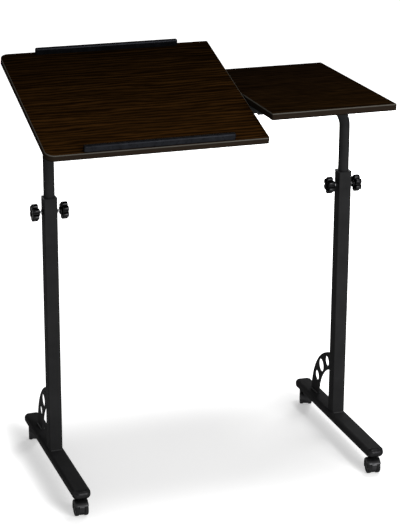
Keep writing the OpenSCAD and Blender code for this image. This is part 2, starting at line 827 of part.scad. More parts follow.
module bar_screw_holes() {
    at_bar_screws() translate([0, 0, -cut])
        cylinder(r = wood_screw_d / 2 + run_fit, h = top_t + bar_screw_rise + cut + seat_gap,
                 $fn = small_fn);
}

module bar_screws() {
    color(bolt_silver) tilted() at_bar_screws() wood_screw(top_t + bar_screw_rise);
}

// Places of the tilt brackets' wood screws, on the laptop top's underside
module at_bracket_screws() {
    for (x = clamp_xs, dx = [-clamp_plate_screw_x, clamp_plate_screw_x],
         y = [-clamp_plate_screw_y, clamp_plate_screw_y]) translate([x + dx, y, seat_h]) children();
}

module bracket_screw_holes() {
    at_bracket_screws() translate([0, 0, -plate_t - cut])
        cylinder(r = wood_screw_d / 2 + run_fit, h = plate_t + wood_screw_bite + cut + seat_gap,
                 $fn = small_fn);
}

// Both tilt clamps' screw holes, up through the lower jaws and blind in the upper ones
module clamp_screw_holes() {
    for (x = clamp_xs, y = [-clamp_screw_y, clamp_screw_y])
        translate([x, y, -clamp_jaw_depth - cut])
        cylinder(r = knob_screw_d / 2 + run_fit, h = clamp_jaw_depth + cut + clamp_screw_tip_z + seat_gap,
                 $fn = small_fn);
}

// Upper jaws of the tilt clamps, screwed under the laptop top
module tilt_brackets() {
    color(plastic_black) tilted() difference() {
        for (x = clamp_xs) across(x - clamp_w / 2, x + clamp_w / 2) {
            translate([-clamp_reach, jaw_gap / 2])
                square([2 * clamp_reach, seat_h - jaw_gap / 2]);
            translate([-clamp_plate_reach, seat_h - plate_t])
                square([2 * clamp_plate_reach, plate_t]);
        }
        rod_x(clamp_xs[0] - clamp_w, clamp_xs[1] + clamp_w, tube_r + run_fit);
        clamp_screw_holes();
        bracket_screw_holes();
    }
}

// Lower jaws of the tilt clamps, with their lower edges rounded
module tilt_caps() {
    edge_r = clamp_edge_r;
    color(plastic_black) tilted() difference() {
        for (x = clamp_xs) across(x - clamp_w / 2, x + clamp_w / 2) {
            translate([-clamp_reach, -clamp_jaw_depth + edge_r])
                square([2 * clamp_reach, clamp_jaw_depth - edge_r - jaw_gap / 2]);
            translate([-clamp_reach + edge_r, -clamp_jaw_depth])
                square([2 * (clamp_reach - edge_r), clamp_jaw_depth - jaw_gap / 2]);
            for (y = [-clamp_reach + edge_r, clamp_reach - edge_r])
                translate([y, -clamp_jaw_depth + edge_r]) circle(r = edge_r, $fn = small_fn);
        }
        rod_x(clamp_xs[0] - clamp_w, clamp_xs[1] + clamp_w, tube_r + run_fit);
        clamp_screw_holes();
    }
}

module bracket_screws() {
    color(bolt_silver) tilted() at_bracket_screws() translate([0, 0, -plate_t])
        wood_screw(plate_t + wood_screw_bite);
}

// Fixed bolts at the back of the tilt clamps
module cap_bolts() {
    color(bolt_silver) tilted() for (x = clamp_xs)
        translate([x, clamp_screw_y, -clamp_jaw_depth]) {
            translate([0, 0, -clamp_bolt_head_h])
                cylinder(d = clamp_bolt_head_d, h = clamp_bolt_head_h, $fn = 6);
            translate([0, 0, -cut / 2])
                cylinder(d = knob_screw_d, h = clamp_jaw_depth + clamp_screw_tip_z + cut / 2,
                         $fn = small_fn);
        }
}

// Knob under the front of a tilt clamp, and its screw
module tilt_knob(x) {
    color(plastic_black) tilted() translate([x, -clamp_screw_y, -clamp_jaw_depth - seat_gap])
        rotate([180, 0, 0]) knob_shape();
}

module tilt_screw(x) {
    low = clamp_jaw_depth + seat_gap + knob_hub_h + knob_screw_in_head;
    color(bolt_silver) tilted() translate([x, -clamp_screw_y, -low])
        cylinder(d = knob_screw_d, h = low + clamp_screw_tip_z, $fn = small_fn);
}

column(-1);  // left_column
foot(-1);  // left_foot
foot_caps(-1);  // left_foot_caps
gusset(-1);  // left_gusset
collar(-1);  // left_collar
castor_stems(-1);  // left_castor_stems
clamp_knob(-1, -1);  // left_outer_knob
clamp_screw(-1, -1);  // left_outer_screw
clamp_knob(-1, 1);  // left_inner_knob
clamp_screw(-1, 1);  // left_inner_screw
castor_hood(-1, 0);  // left_front_hood
castor_axle(-1, 0);  // left_front_axle
castor_wheel(-1, 0, 1);  // left_front_outer_wheel
castor_wheel(-1, 0, -1);  // left_front_inner_wheel
castor_hood(-1, 1);  // left_rear_hood
castor_axle(-1, 1);  // left_rear_axle
castor_wheel(-1, 1, 1);  // left_rear_outer_wheel
castor_wheel(-1, 1, -1);  // left_rear_inner_wheel
column(1);  // right_column
foot(1);  // right_foot
foot_caps(1);  // right_foot_caps
gusset(1);  // right_gusset
collar(1);  // right_collar
castor_stems(1);  // right_castor_stems
clamp_knob(1, 1);  // right_outer_knob
clamp_screw(1, 1);  // right_outer_screw
clamp_knob(1, -1);  // right_inner_knob
clamp_screw(1, -1);  // right_inner_screw
castor_hood(1, 0);  // right_front_hood
castor_axle(1, 0);  // right_front_axle
castor_wheel(1, 0, 1);  // right_front_outer_wheel
castor_wheel(1, 0, -1);  // right_front_inner_wheel
castor_hood(1, 1);  // right_rear_hood
castor_axle(1, 1);  // right_rear_axle
castor_wheel(1, 1, 1);  // right_rear_outer_wheel
castor_wheel(1, 1, -1);  // right_rear_inner_wheel
inner_tube(-1);  // left_tube
inner_tube(1);  // right_tube
tube_glides();
crossbar_sleeve();
crossbar_bolts();
side_board();
side_edging();
side_mounts();
side_screws();
main_board();
main_edging();
front_bar();
rear_bar();
bar_screws();
tilt_brackets();
tilt_caps();
bracket_screws();
cap_bolts();
tilt_knob(left_clamp_x);  // left_tilt_knob
tilt_screw(left_clamp_x);  // left_tilt_screw
tilt_knob(right_clamp_x);  // right_tilt_knob
tilt_screw(right_clamp_x);  // right_tilt_screw
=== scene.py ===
import json
import math

import bmesh
import bpy
from mathutils import Matrix, Vector


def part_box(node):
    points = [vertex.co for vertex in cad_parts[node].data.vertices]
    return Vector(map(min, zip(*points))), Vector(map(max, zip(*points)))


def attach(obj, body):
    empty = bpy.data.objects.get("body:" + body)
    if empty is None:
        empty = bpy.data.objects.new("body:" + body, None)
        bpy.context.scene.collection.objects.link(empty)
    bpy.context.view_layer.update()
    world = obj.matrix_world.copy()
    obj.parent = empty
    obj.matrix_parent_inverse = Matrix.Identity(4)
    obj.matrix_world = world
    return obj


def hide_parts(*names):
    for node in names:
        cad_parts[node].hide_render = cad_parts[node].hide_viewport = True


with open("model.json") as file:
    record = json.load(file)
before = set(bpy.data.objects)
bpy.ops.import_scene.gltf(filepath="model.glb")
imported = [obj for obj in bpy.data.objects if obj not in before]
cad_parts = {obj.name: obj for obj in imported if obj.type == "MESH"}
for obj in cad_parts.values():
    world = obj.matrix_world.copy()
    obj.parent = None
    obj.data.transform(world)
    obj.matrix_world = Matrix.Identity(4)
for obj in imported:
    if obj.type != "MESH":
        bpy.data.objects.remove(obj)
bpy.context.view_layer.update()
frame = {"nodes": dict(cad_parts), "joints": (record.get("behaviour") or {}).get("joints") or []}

nodes = frame["nodes"]

# The two feet are flat steel tubes that lie front to back, powder coated satin black like all the
# steel of the frame. A nut is welded inside each end for a castor, and a bullnose plastic cap is
# pushed into each end.
mm = 0.001
sides = ("left", "right")
foot_half_w = 20 * mm
foot_half_h = 10 * mm
foot_edge_r = 6 * mm
cap_shoulder = 3 * mm
cap_shoulder_steps = 4
cap_corner_r = 13 * mm
cap_edge_steps = 8
cap_nose_degrees = 6
cap_plug = 8 * mm
cap_plug_inset = 1.6 * mm
sliver = 0.01 * mm
noise_low = 0.3
noise_high = 0.7
coat_dark = (0.019, 0.019, 0.0195)
coat_light = (0.0245, 0.0245, 0.025)
moulded_dark = (0.01, 0.01, 0.0105)
moulded_light = (0.016, 0.016, 0.0165)
edge_shine = (0.3, 0.3, 0.3)


def feed(tree, socket, value):
    """Gives a node's input a plain value or the output of another node."""
    if isinstance(value, bpy.types.NodeSocket):
        tree.links.new(value, socket)
    else:
        socket.default_value = value


class Finish:
    """A procedural finish, built node by node on the object's own coordinates."""

    def __init__(self, name, roughness, specular, metallic=0.0):
        self.material = bpy.data.materials.new(name)
        self.material.use_nodes = True
        self.tree = self.material.node_tree
        self.shader = self.tree.nodes["Principled BSDF"]
        self.shader.inputs["Roughness"].default_value = roughness
        self.shader.inputs["Specular IOR Level"].default_value = specular
        self.shader.inputs["Metallic"].default_value = metallic
        self.place = self.node("ShaderNodeTexCoord").outputs["Object"]

    def node(self, kind, **inputs):
        """A new node. Each input is a plain value or the output of another node."""
        made = self.tree.nodes.new(kind)
        for name, value in inputs.items():
            feed(self.tree, made.inputs[name.replace("_", " ")], value)
        return made

    def noise(self, scale, stretch=(1, 1, 1), turn=(0, 0, 0), detail=3.0):
        """Cloudy noise; stretch gives the scale along each axis after the turn."""
        turned = self.node("ShaderNodeMapping", Vector=self.place, Rotation=turn)
        laid = self.node("ShaderNodeMapping", Vector=turned.outputs["Vector"], Scale=stretch)
        made = self.node("ShaderNodeTexNoise", Vector=laid.outputs["Vector"], Scale=scale,
                         Detail=detail)
        return made.outputs["Fac"]

    def ramp(self, factor, *stops):
        """Turns a factor into a colour. Each stop is a place from 0 to 1 and a colour."""
        made = self.node("ShaderNodeValToRGB", Fac=factor)
        elements = made.color_ramp.elements
        while len(elements) < len(stops):
            elements.new(1.0)
        for element, (at, colour) in zip(elements, stops):
            element.position = at
            element.color = (*colour, 1.0)
        return made.outputs["Color"]

    def two_tone(self, factor, dark, light):
        """Spreads the middle of a noise from a dark to a light colour."""
        return self.ramp(factor, (noise_low, dark), (noise_high, light))

    def between(self, factor, low, high):
        """Spreads the middle of a noise from a low to a high value."""
        made = self.node("ShaderNodeMapRange", Value=factor, From_Min=noise_low,
                         From_Max=noise_high, To_Min=low, To_Max=high)
        return made.outputs["Result"]

    def set(self, name, value):
        """Gives the surface shader an input from another node."""
        self.tree.links.new(value, self.shader.inputs[name])

    def bump(self, height, depth):
        """Relief of the given depth in metres."""
        made = self.node("ShaderNodeBump", Height=height, Distance=depth, Strength=1.0)
        self.set("Normal", made.outputs["Normal"])


def powder_coat(name, specular):
    """Satin powder coat: fine orange peel and slight clouds in its gloss."""
    coat = Finish(name, roughness=0.5, specular=specular)
    coat.set("Base Color", coat.two_tone(coat.noise(scale=22), coat_dark, coat_light))
    coat.set("Roughness", coat.between(coat.noise(scale=60), low=0.44, high=0.56))
    coat.bump(coat.noise(scale=1400, detail=2.0), depth=0.03 * mm)
    return coat.material


def moulded_plastic(name, low, high, grain, shine=0.0, lift=1.0):
    """Moulded black plastic: spark-eroded grain, and a gloss between two values.

    Shine is how far it reflects as a dark metal does, and lift brightens its black.
    """
    plastic = Finish(name, roughness=low, specular=0.02, metallic=shine)
    plastic.shader.inputs["Specular Tint"].default_value = (*edge_shine, 1.0)
    dark = [channel * lift for channel in moulded_dark]
    light = [channel * lift for channel in moulded_light]
    plastic.set("Base Color", plastic.two_tone(plastic.noise(scale=80), dark, light))
    plastic.set("Roughness", plastic.between(plastic.noise(scale=150), low, high))
    plastic.bump(plastic.noise(scale=2600, detail=1.0), depth=grain)
    return plastic.material


def dress(material, *names):
    """Gives CAD nodes that keep their shape their finish."""
    for name in names:
        for holder in nodes[name].material_slots:
            holder.material = material


def skin(bm, rings, place=Matrix(), loop=False):
    """A closed shell through rings of points: capped at its ends, or joined end to end."""
    made = [[bm.verts.new(place @ Vector(point)) for point in ring] for ring in rings]
    pairs = list(zip(made, made[1:]))
    if loop:
        pairs.append((made[-1], made[0]))
    for first, second in pairs:
        for i in range(len(first)):
            j = (i + 1) % len(first)
            bm.faces.new((first[i], first[j], second[j], second[i]))
    if not loop:
        bm.faces.new(made[0])
        bm.faces.new(made[-1])


def mesh_of(bm, name):
    """The finished mesh, with its faces pointing outwards."""
    bmesh.ops.recalc_face_normals(bm, faces=bm.faces)
    mesh = bpy.data.meshes.new(name)
    bm.to_mesh(mesh)
    bm.free()
    return mesh


def smooth(mesh, sharp):
    """Shades a mesh smooth but for the edges sharper than an angle in degrees."""
    mesh.shade_smooth()
    mesh.set_sharp_from_angle(angle=math.radians(sharp))


def new_object(name, data):
    """An object at the origin in the scene."""
    made = bpy.data.objects.new(name, data)
    bpy.context.scene.collection.objects.link(made)
    return made


def piece(name, bm, material, body, stands_for, sharp=35):
    """Makes an object of a finished mesh, and puts it on its body in place of a CAD node."""
    mesh = mesh_of(bm, name)
    smooth(mesh, sharp)
    mesh.materials.append(material)
    made = new_object(name, mesh)
    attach(made, body)
    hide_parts(stands_for)


def cap_ring(depth, half_w, half_h, radius):
    """A rounded rectangle across the foot, at a depth beyond the tube's end."""
    ring = []
    for x, z, start in ((1, -1, -90), (1, 1, 0), (-1, 1, 90), (-1, -1, 180)):
        for i in range(cap_edge_steps + 1):
            angle = math.radians(start + 90 * i / cap_edge_steps)
            ring.append((x * (half_w - radius) + radius * math.cos(angle), depth,
                         z * (half_h - radius) + radius * math.sin(angle)))
    return ring


def add_end_cap(bm, place):
    """A bullnose cap on the tube's end: its section turns from the tube's into a round one.

    A sliver of straight edge stays between the corners, so that no two points meet.
    """
    inset = cap_plug_inset
    plug = (foot_half_w - inset, foot_half_h - inset, foot_edge_r - inset)
    rings = [cap_ring(-cap_plug, *plug), cap_ring(0.0, *plug)]
    stations = []
    for i in range(cap_shoulder_steps):
        share = i / cap_shoulder_steps
        edge_r = foot_edge_r + (foot_half_h - foot_edge_r) * share
        stations.append((cap_shoulder * share, foot_half_h, edge_r))
    for degrees in range(0, 90, cap_nose_degrees):
        half_h = foot_half_h * math.cos(math.radians(degrees))
        depth = cap_shoulder + foot_half_h * math.sin(math.radians(degrees))
        stations.append((depth, half_h, half_h))
    for depth, half_h, edge_r in stations:
        narrower = cap_corner_r - math.sqrt(cap_corner_r ** 2 - depth ** 2)
        rings.append(cap_ring(depth, foot_half_w - narrower, half_h, edge_r - sliver))
    skin(bm, rings, place)


coat = powder_coat("powder_coat", specular=0.001)
cap_plastic = moulded_plastic("cap_plastic", low=0.3, high=0.4, grain=0.01 * mm, shine=0.8,
                              lift=1.2)
for side in sides:
    dress(coat, f"{side}_foot")
    low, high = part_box(f"{side}_foot")
    caps = bmesh.new()
    for y, turn in ((low.y, math.pi), (high.y, 0.0)):
        tube_end = Matrix.Translation(((low.x + high.x) / 2, y, (low.z + high.z) / 2))
        add_end_cap(caps, tube_end @ Matrix.Rotation(turn, 4, "Z"))
    piece(f"{side}_end_caps", caps, cap_plastic, f"{side}_leg",
          f"{side}_foot_caps")

# The columns are square steel tubes, welded upright on the feet, with a nut welded on each side
# for the clamp knobs. A quarter ring of plate with three round holes is welded behind each one,
# and the welds lie as ripple beads along the joints.
bead_r = 1.7 * mm
bead_sides = 12
bead_end_gap = 3 * mm
column_bead_out = bead_r / 2
gusset_bead_out = bead_r / 3
ripple_pitch = 2.2 * mm
ripple_depth = 0.22
ripple_steps = 6
gusset_inner_r = 94 * mm


def math_node(tree, operation, *values, kind="ShaderNodeMath"):
    """The result of a math node. Each value is a plain one or the output of another node."""
    made = tree.nodes.new(kind)
    made.operation = operation
    for socket, value in zip(made.inputs, values):
        feed(tree, socket, value)
    return made.outputs[0]


def end_tree(tree, geometry, material, result):
    """Ends a Geometry Nodes tree: its instances become mesh and get their material."""
    realized = tree.nodes.new("GeometryNodeRealizeInstances")
    tree.links.new(geometry, realized.inputs["Geometry"])
    painted = tree.nodes.new("GeometryNodeSetMaterial")
    tree.links.new(realized.outputs["Geometry"], painted.inputs["Geometry"])
    painted.inputs["Material"].default_value = material
    tree.links.new(painted.outputs["Geometry"], result)


def bead_tree(material):
    """Geometry Nodes: each spline of a curve becomes a weld bead with even ripples."""
    tree = bpy.data.node_groups.new("weld_bead", "GeometryNodeTree")
    interface = tree.interface
    interface.new_socket("Path", in_out="INPUT", socket_type="NodeSocketGeometry")
    for name, value in (("Bead radius", bead_r), ("Ripple pitch", ripple_pitch),
                        ("Ripple depth", ripple_depth)):
        size = interface.new_socket(name, in_out="INPUT", socket_type="NodeSocketFloat")
        size.default_value = value
    interface.new_socket("Bead", in_out="OUTPUT", socket_type="NodeSocketGeometry")
    given = tree.nodes.new("NodeGroupInput")
    result = tree.nodes.new("NodeGroupOutput")
    pitch = given.outputs["Ripple pitch"]
    link = tree.links.new
    evened = tree.nodes.new("GeometryNodeResampleCurve")
    evened.mode = "LENGTH"
    link(given.outputs["Path"], evened.inputs["Curve"])
    link(math_node(tree, "DIVIDE", pitch, ripple_steps), evened.inputs["Length"])
    along = tree.nodes.new("GeometryNodeSplineParameter").outputs["Length"]
    turns = math_node(tree, "DIVIDE", along, pitch)
    wave = math_node(tree, "SINE", math_node(tree, "MULTIPLY", turns, math.tau))
    swell = math_node(tree, "MULTIPLY_ADD", wave, given.outputs["Ripple depth"], 1.0)
    profile = tree.nodes.new("GeometryNodeCurvePrimitiveCircle")
    profile.inputs["Resolution"].default_value = bead_sides
    link(given.outputs["Bead radius"], profile.inputs["Radius"])
    skinned = tree.nodes.new("GeometryNodeCurveToMesh")
    link(evened.outputs["Curve"], skinned.inputs["Curve"])
    link(profile.outputs["Curve"], skinned.inputs["Profile Curve"])
    link(swell, skinned.inputs["Scale"])
    skinned.inputs["Fill Caps"].default_value = True
    end_tree(tree, skinned.outputs["Mesh"], material, result.inputs["Bead"])
    return tree


def settle(obj, tree, name, settings=None, sharp=60):
    """Runs a Geometry Nodes tree on obj and returns its result as a plain mesh object."""
    grown = obj.modifiers.new(name, "NODES")
    grown.node_group = tree
    for socket, value in (settings or {}).items():
        grown[socket] = value
    graph = bpy.context.evaluated_depsgraph_get()
    mesh = bpy.data.meshes.new_from_object(obj.evaluated_get(graph), depsgraph=graph)
    obj.modifiers.remove(grown)
    bpy.data.objects.remove(obj)
    smooth(mesh, sharp)
    return new_object(name, mesh)


def paths(lines):
    """A curve object with one straight spline for each pair of points."""
    curve = bpy.data.curves.new("weld_path", "CURVE")
    curve.dimensions = "3D"
    for line in lines:
        spline = curve.splines.new("POLY")
        spline.points.add(len(line) - 1)
        for point, at in zip(spline.points, line):
            point.co = (*at, 1.0)
    return new_object("weld_path", curve)


def leg_welds(side):
    """The weld lines of a leg: before and behind the column, and on both sides of the gusset."""
    rim_low, rim_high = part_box(f"{side}_collar")
    plate_low, plate_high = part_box(f"{side}_gusset")
    left_x = rim_low.x + bead_end_gap
    right_x = rim_high.x - bead_end_gap
    low_z = plate_low.z + column_bead_out
    lines = [[(left_x, y, low_z), (right_x, y, low_z)]
             for y in (rim_low.y - column_bead_out, rim_high.y + column_bead_out)]
    near = plate_low.y + gusset_bead_out
    inner_y = plate_low.y + gusset_inner_r + bead_end_gap
    inner_z = plate_low.z + gusset_inner_r + bead_end_gap
    for x in (plate_low.x - gusset_bead_out, plate_high.x + gusset_bead_out):
        lines.append([(x, inner_y, low_z), (x, plate_high.y - bead_end_gap, low_z)])
        lines.append([(x, near, inner_z), (x, near, plate_high.z - bead_end_gap)])
    return lines


welds = bead_tree(powder_coat("weld_coat", specular=0.3))
for side in sides:
    dress(coat, f"{side}_column", f"{side}_gusset")
    beads = settle(paths(leg_welds(side)), welds, f"{side}_weld_beads")
    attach(beads, f"{side}_leg")

# A moulded collar sits in the top of each column and guides the round inner tube. It is the only
# plastic between the two tubes that shows.
collar_plastic = moulded_plastic("collar_plastic", low=0.36, high=0.48, grain=0.015 * mm)
for side in sides:
    dress(collar_plastic, f"{side}_collar")

# Each castor has two hard nylon wheels on one axle. A moulded body between them carries the
# axle, rises round the steel stem, and spreads into a hood over the wheels' tops and fronts.
joints = {joint["name"]: joint for joint in frame["joints"]}
ends = ("front", "rear")
round_steps = 72
pole_r = 0.2 * mm
wheel_r = 17.5 * mm
wheel_w = 9 * mm
wheel_gap = 0.4 * mm
wheel_bore_r = 2.55 * mm
wheel_bore_depth = 6.8 * mm
wheel_inner_edge = ((2.2 * mm, 0.0), (0.8 * mm, 0.3 * mm), (0.15 * mm, 1.2 * mm), (0.0, 2.4 * mm))
wheel_outer_edge = ((0.0, 2.6 * mm), (0.3 * mm, 1.2 * mm), (1.1 * mm, 0.35 * mm), (2.4 * mm, 0.0))
wheel_rim = ((13.6 * mm, 0.0), (13.1 * mm, 0.3 * mm), (12.8 * mm, 1.2 * mm), (11.8 * mm, 1.5 * mm))
wheel_hub = ((7.2 * mm, 1.3 * mm), (6.2 * mm, 1.1 * mm), (5.7 * mm, 0.3 * mm), (5.0 * mm, 0.0),
             (2.2 * mm, 0.0), (pole_r, 0.0))
body_half_w = 5.5 * mm
hood_inner_r = 18.3 * mm
hood_outer_r = 20.7 * mm
hood_half_w = 14.9 * mm
hood_back_reach = 18 * mm
hood_front_drop = 9.5 * mm
hood_crown = 0.9 * mm
hood_crown_power = 6
hood_edge_inset = 0.35 * mm
hood_steps_round = 36
hood_steps_across = 16
web_r = 16 * mm
web_steps_top = 30
web_steps_disc = 24
boss_r = 7.5 * mm
boss_chamfer = 0.8 * mm
zinc_dark = (0.42, 0.42, 0.43)
zinc_light = (0.6, 0.6, 0.61)


def circle(radius, height, steps=round_steps):
    """A ring of points about Z."""
    angles = [math.tau * i / steps for i in range(steps)]
    return [(radius * math.cos(angle), radius * math.sin(angle), height) for angle in angles]


def wheel_outline():
    """From the blind end of the bore, round the inner face and the tread, to the hub's middle.

    The edges are given as (in from the tread, in from the face), the rim and the hub as (radius,
    in from the face).
    """
    low = body_half_w + wheel_gap
    high = low + wheel_w
    outline = [(pole_r, low + wheel_bore_depth), (wheel_bore_r, low + wheel_bore_depth),
               (wheel_bore_r, low)]
    outline += [(wheel_r - inset, low + rise) for inset, rise in wheel_inner_edge]
    outline += [(wheel_r - inset, high - drop) for inset, drop in wheel_outer_edge]
    outline += [(radius, high - drop) for radius, drop in wheel_rim + wheel_hub]
    return outline


def hood_span(radius):
    """The angles about the axle of the hood's rear edge and of its low front edge."""
    return math.acos(hood_back_reach / radius), math.pi + math.asin(hood_front_drop / radius)


def add_hood(bm, place):
    """The hood: a shell round the axle, over the wheels' tops and down their fronts.

    It is crowned across, so that its sides fall by hood_crown, and thinned at its two edges.
    """
    first, last = hood_span(hood_outer_r)
    rings = []
    for i in range(hood_steps_round + 1):
        angle = first + (last - first) * i / hood_steps_round
        inset = hood_edge_inset if i in (0, hood_steps_round) else 0.0
        section = []
        for k in range(hood_steps_across + 1):
            share = 2 * k / hood_steps_across - 1
            crown = hood_crown * abs(share) ** hood_crown_power
            section.append((share * (hood_half_w - inset), hood_outer_r - crown - inset))
        section += [(x, hood_inner_r + inset / 3) for x, radius in reversed(section)]
        rings.append([(x, radius * math.cos(angle), radius * math.sin(angle))
                      for x, radius in section])
    skin(bm, rings, place)


def arc_points(radius, first, last, steps):
    """Points on an arc about the axle, as (to the back, up)."""
    angles = [first + (last - first) * i / steps for i in range(steps + 1)]
    return [(radius * math.cos(angle), radius * math.sin(angle)) for angle in angles]


def add_web(bm, place):
    """The web between the wheels: a disc round the axle that fills up to the hood's top."""
    fill_r = (hood_inner_r + hood_outer_r) / 2
    front_edge = math.pi + math.asin(hood_front_drop / web_r)
    outline = arc_points(fill_r, *hood_span(fill_r), web_steps_top)
    outline += arc_points(web_r, front_edge, math.tau, web_steps_disc)
    outline.append((web_r, web_r / 2))
    skin(bm, [[(x, y, z) for y, z in outline] for x in (-body_half_w, body_half_w)], place)


def add_boss(bm, place, trail, top):
    """The boss round the stem: its lower rim follows the hood, its upper rim is chamfered."""
    seat_r = (hood_inner_r + hood_outer_r) / 2
    lower_rim = [(x, y, math.sqrt(seat_r ** 2 - (y - trail) ** 2))
                 for x, y, z in circle(boss_r, 0.0)]
    rings = [lower_rim, circle(boss_r, top - boss_chamfer), circle(boss_r - boss_chamfer, top)]
    skin(bm, rings, place @ Matrix.Translation((0, -trail, 0)))


def bare_steel():
    """Zinc plated steel: soft scratches and a slightly clouded gloss."""
    plate = Finish("zinc_plate", roughness=0.3, specular=0.5, metallic=1.0)
    plate.set("Base Color", plate.two_tone(plate.noise(scale=300), zinc_dark, zinc_light))
    plate.set("Roughness", plate.between(plate.noise(scale=500), low=0.24, high=0.4))
    plate.bump(plate.noise(scale=1500), depth=0.02 * mm)
    return plate.material


wheel_nylon = moulded_plastic("wheel_nylon", low=0.4, high=0.52, grain=0.02 * mm, lift=1.5)
hood_nylon = moulded_plastic("hood_nylon", low=0.3, high=0.42, grain=0.01 * mm, shine=0.8,
                             lift=2.2)
zinc = bare_steel()
for side in sides:
    dress(zinc, f"{side}_castor_stems")
    for end in ends:
        swivel = Vector(joints[f"{side}_{end}_swivel"]["pos_m"])
        axle = Vector(joints[f"{side}_{end}_outer_wheel_spin"]["pos_m"])
        dress(zinc, f"{side}_{end}_axle")
        behind = (axle - swivel).to_2d()
        turn = math.atan2(-behind.x, behind.y)
        at_axle = Matrix.Translation(axle) @ Matrix.Rotation(turn, 4, "Z")
        body = bmesh.new()
        add_hood(body, at_axle)
        add_web(body, at_axle)
        add_boss(body, at_axle, behind.length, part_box(f"{side}_{end}_hood")[1].z - axle.z)
        piece(f"{side}_{end}_castor_body", body, hood_nylon, f"{side}_{end}_castor",
              f"{side}_{end}_hood")
        for which in ("outer", "inner"):
            node = f"{side}_{end}_{which}_wheel"
            low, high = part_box(node)
            middle = at_axle.inverted() @ ((low + high) / 2)
            along_x = Matrix.Rotation(math.copysign(math.pi / 2, middle.x), 4, "Y")
            wheel = bmesh.new()
            skin(wheel, [circle(*level) for level in wheel_outline()], at_axle @ along_x)
            piece(f"{node}_moulding", wheel, wheel_nylon, node, node, sharp=50)

# Four lobed knobs clamp the inner tubes: each is moulded on a zinc plated screw that runs through
# a welded nut. Two more of the same pattern close the tilt clamps under the tilting top.
column_half_w = 15 * mm
knob_gap = 8 * mm
knob_r = 20 * mm
lobe_r = 6.2 * mm
lobe_count = 6
knob_steps = 120
knob_head_h = 14.5 * mm
knob_hub_h = 3.5 * mm
knob_hub_r = 8.5 * mm
knob_hub_chamfer = 0.6 * mm
knob_neck = 0.2 * mm
knob_lower_rim = ((0.8, 0.0), (0.93, 0.25 * mm), (0.98, 1.1 * mm), (1.0, 2.5 * mm))
knob_upper_rim = ((1.0, 2.5 * mm), (0.98, 1.1 * mm), (0.93, 0.3 * mm), (0.87, 0.0), (0.68, 0.0))
knob_dish = ((8.6 * mm, 0.2 * mm), (8.0 * mm, 0.9 * mm), (4.0 * mm, 1.2 * mm), (pole_r, 1.2 * mm))
screw_r = 3 * mm
screw_low = -2.2 * mm
screw_in_head = 4.5 * mm
screw_chamfer = 0.8 * mm
knob_bore_r = 1.02 * screw_r
knob_bore_in_head = 5 * mm
thread_pitch = 1 * mm
thread_depth = 0.45 * mm
thread_steps_round = 24
thread_steps_pitch = 6


def lobed_radius(angle):
    """The knob's outline: round lobes on a disc."""
    centre = knob_r - lobe_r
    offset = (angle + math.pi / lobe_count) % (math.tau / lobe_count) - math.pi / lobe_count
    sideways = centre * math.sin(offset)
    if abs(sideways) > lobe_r:
        return centre
    return max(centre, centre * math.cos(offset) + math.sqrt(lobe_r ** 2 - sideways ** 2))


def lobed_ring(scale, height):
    """The knob's outline at a height, scaled towards its middle."""
    ring = []
    for i in range(knob_steps):
        angle = math.tau * i / knob_steps
        reach = scale * lobed_radius(angle)
        ring.append((reach * math.cos(angle), reach * math.sin(angle), height))
    return ring


def add_knob(bm, place):
    """Hub, lobed head with rounded rims, and a shallow dish in its face.

    The rims are given as (scale of the outline, in from the face), the dish as (radius, in from
    the face).
    """
    top = knob_hub_h + knob_head_h
    hub = ((knob_bore_r, knob_hub_h + knob_bore_in_head), (knob_bore_r, 0.0),
           (knob_hub_r - knob_hub_chamfer, 0.0), (knob_hub_r, knob_hub_chamfer),
           (knob_hub_r, knob_hub_h - knob_neck))
    rings = [circle(radius, height, knob_steps) for radius, height in hub]
    rings += [lobed_ring(scale, knob_hub_h + rise) for scale, rise in knob_lower_rim]
    rings += [lobed_ring(scale, top - drop) for scale, drop in knob_upper_rim]
    rings += [circle(radius, top - drop, knob_steps) for radius, drop in knob_dish]
    skin(bm, rings, place)


def add_thread(bm, place, low, high):
    """A screw with a rolled thread, chamfered at both ends."""
    count = round((high - low) / thread_pitch * thread_steps_pitch)
    rings = []
    for k in range(count + 1):
        height = low + (high - low) * k / count
        chamfer = screw_chamfer - min(height - low, high - height)
        ring = []
        for i in range(thread_steps_round):
            share = i / thread_steps_round
            turn = (height / thread_pitch - share) % 1.0
            reach = screw_r - max(thread_depth * abs(2 * turn - 1), chamfer)
            ring.append((reach * math.cos(math.tau * share), reach * math.sin(math.tau * share),
                         height))
        rings.append(ring)
    skin(bm, rings, place)


knob_plastic = moulded_plastic("knob_plastic", low=0.16, high=0.24, grain=0.01 * mm, shine=1.0)
for side in sides:
    for which in ("outer", "inner"):
        node = f"{side}_{which}_knob"
        joint = joints[f"{node}_turn"]
        outward = Vector(joint["axis"])
        turned = Vector((0, 0, 1)).rotation_difference(outward).to_matrix().to_4x4()
        at_face = Matrix.Translation(Vector(joint["pos_m"]) + outward * column_half_w) @ turned
        head = bmesh.new()
        add_knob(head, at_face @ Matrix.Translation((0, 0, knob_gap)))
        piece(f"{node}_moulding", head, knob_plastic, node, node, sharp=50)
        shaft = bmesh.new()
        add_thread(shaft, at_face, screw_low, knob_gap + knob_hub_h + screw_in_head)
        piece(f"{side}_{which}_threaded_screw", shaft, zinc, node,
              f"{side}_{which}_screw", sharp=25)

# Two round steel tubes slide in the columns, bend over and meet in the middle as the crossbar.
# A sleeve inside joins them with two bolts, and a moulded plug under each guides it in its column.
dress(coat, "left_tube", "right_tube", "crossbar_sleeve")
dress(collar_plastic, "tube_glides")
dress(zinc, "crossbar_bolts")

